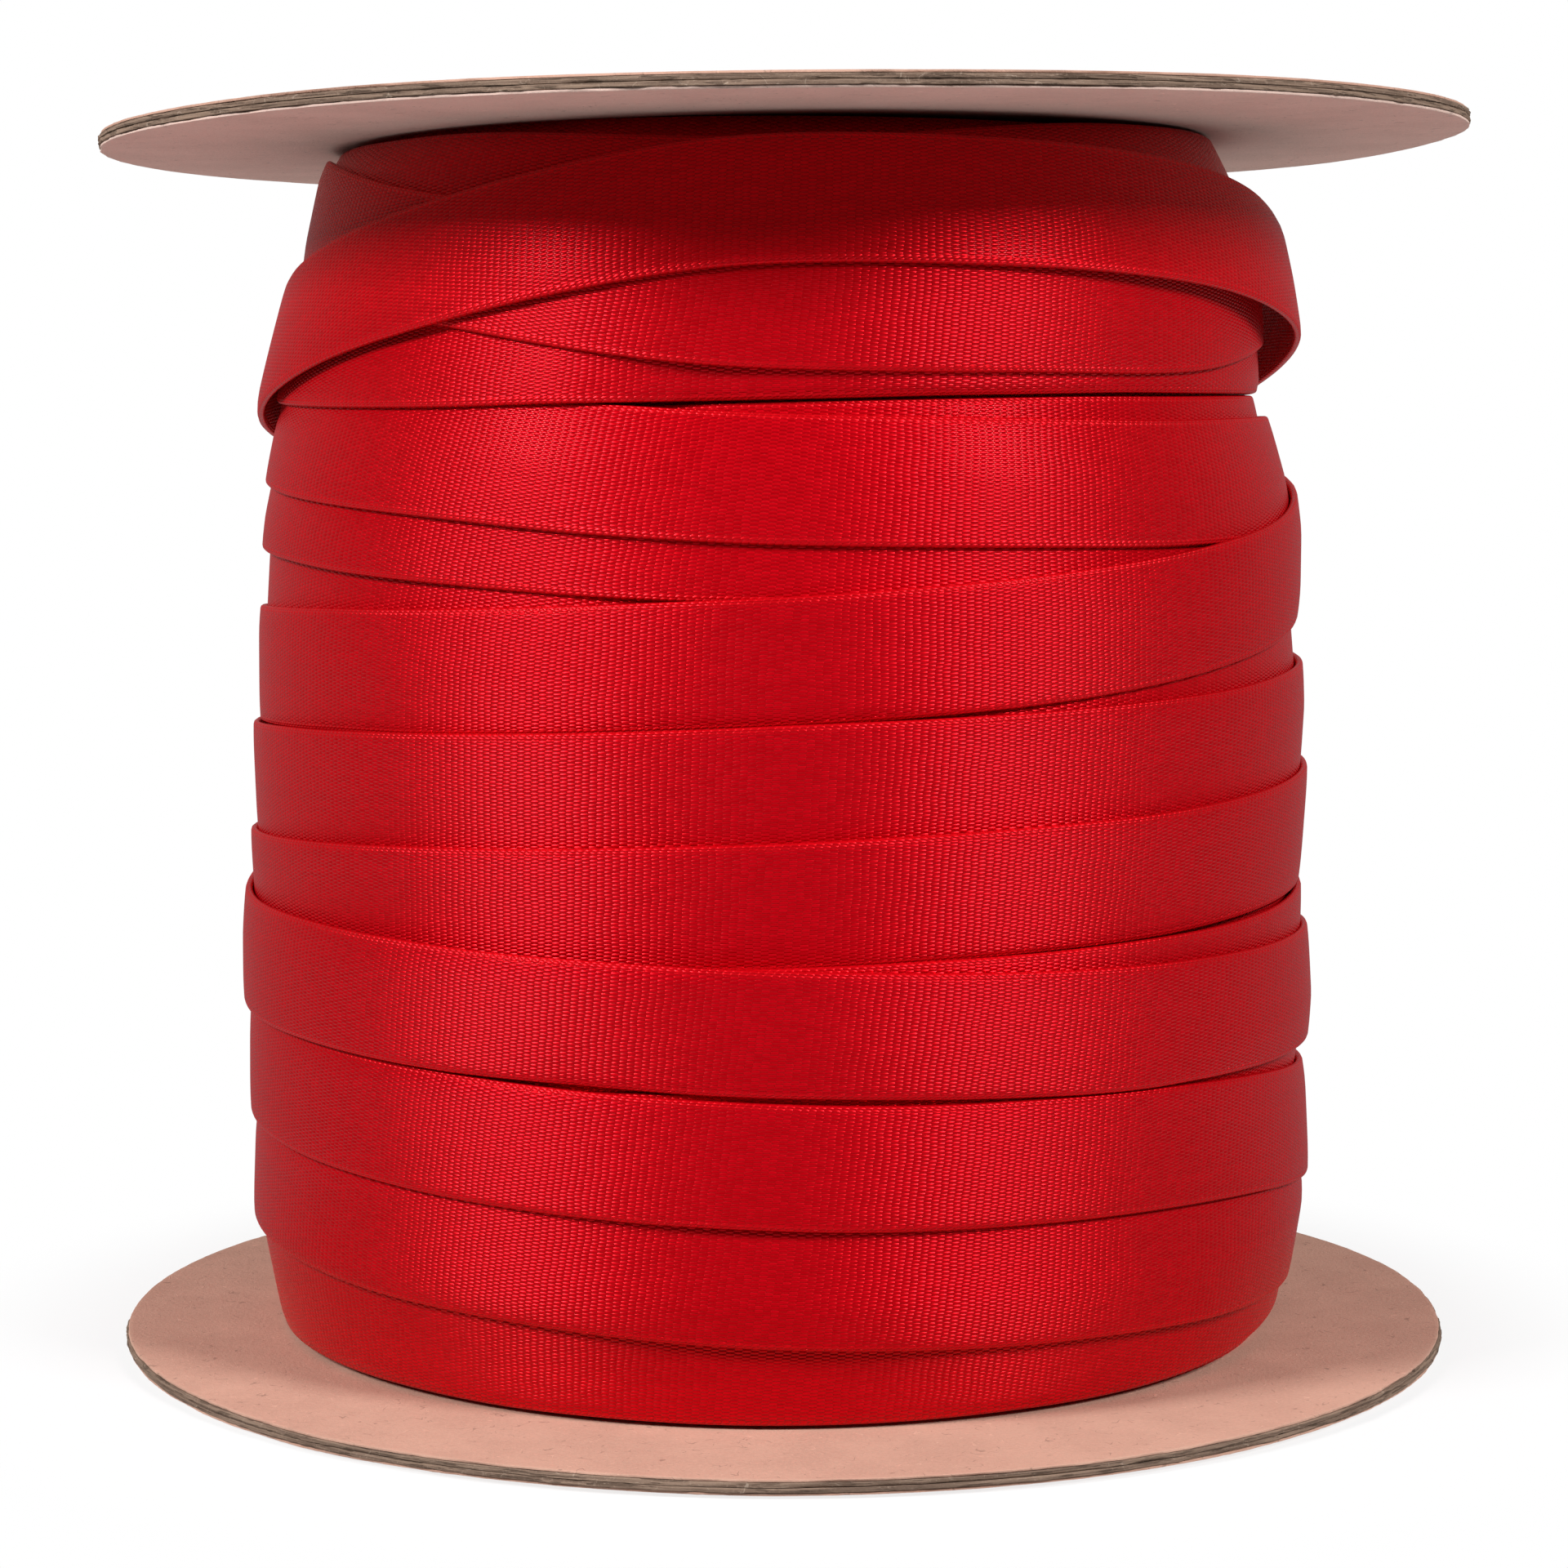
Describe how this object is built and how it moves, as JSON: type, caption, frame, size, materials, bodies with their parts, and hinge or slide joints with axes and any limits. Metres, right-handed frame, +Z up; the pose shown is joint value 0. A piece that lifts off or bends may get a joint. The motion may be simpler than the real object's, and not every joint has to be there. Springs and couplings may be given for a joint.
{
  "type": "reel of woven tape",
  "caption": "Cardboard reel with two round flanges on a paper tube, wound full with glossy red woven tape whose last turn lies loose.",
  "frame": {"origin": "on the reel's axis, in the plane that the lower flange stands on", "axes": "+Z up along the reel's axis, -Y towards the front, +X to the right as seen from the front"},
  "size_m": [0.1524, 0.1524, 0.1367],
  "materials": {
    "kraft_facing": "matt pinkish-brown kraft paper with fine fibres",
    "greyboard": "rough torn-looking grey-brown board edge",
    "core_paper": "spirally wound brown paper, matt",
    "hot_melt_glue": "cloudy amber, smooth",
    "woven_tape": "glossy plain-woven filament yarn, fine grains along the tape"
  },
  "bodies": {
    "root": {"lower_outer_facing": "kraft_facing", "lower_inner_facing": "kraft_facing", "upper_outer_facing": "kraft_facing", "upper_inner_facing": "kraft_facing", "lower_outer_ply": "greyboard", "lower_inner_ply": "greyboard", "upper_outer_ply": "greyboard", "upper_inner_ply": "greyboard", "core_liner": "core_paper", "core_tube": "core_paper", "core_wrap": "core_paper", "lower_glue_bead": "hot_melt_glue", "upper_glue_bead": "hot_melt_glue", "inner_winding": "woven_tape", "tape_turn_01": "woven_tape", "tape_turn_02": "woven_tape", "tape_turn_03": "woven_tape", "tape_turn_04": "woven_tape", "tape_turn_05": "woven_tape", "tape_turn_06": "woven_tape", "tape_turn_07": "woven_tape", "tape_turn_08": "woven_tape", "tape_turn_09": "woven_tape", "tape_turn_10": "woven_tape", "tape_turn_11": "woven_tape", "tape_turn_12": "woven_tape", "tape_turn_13": "woven_tape", "tape_turn_14": "woven_tape", "tape_turn_15": "woven_tape", "tape_turn_16": "woven_tape", "tape_turn_17": "woven_tape", "tape_turn_18": "woven_tape", "tape_turn_19": "woven_tape", "tape_last_turn": "woven_tape"}
  },
  "joints": []
}
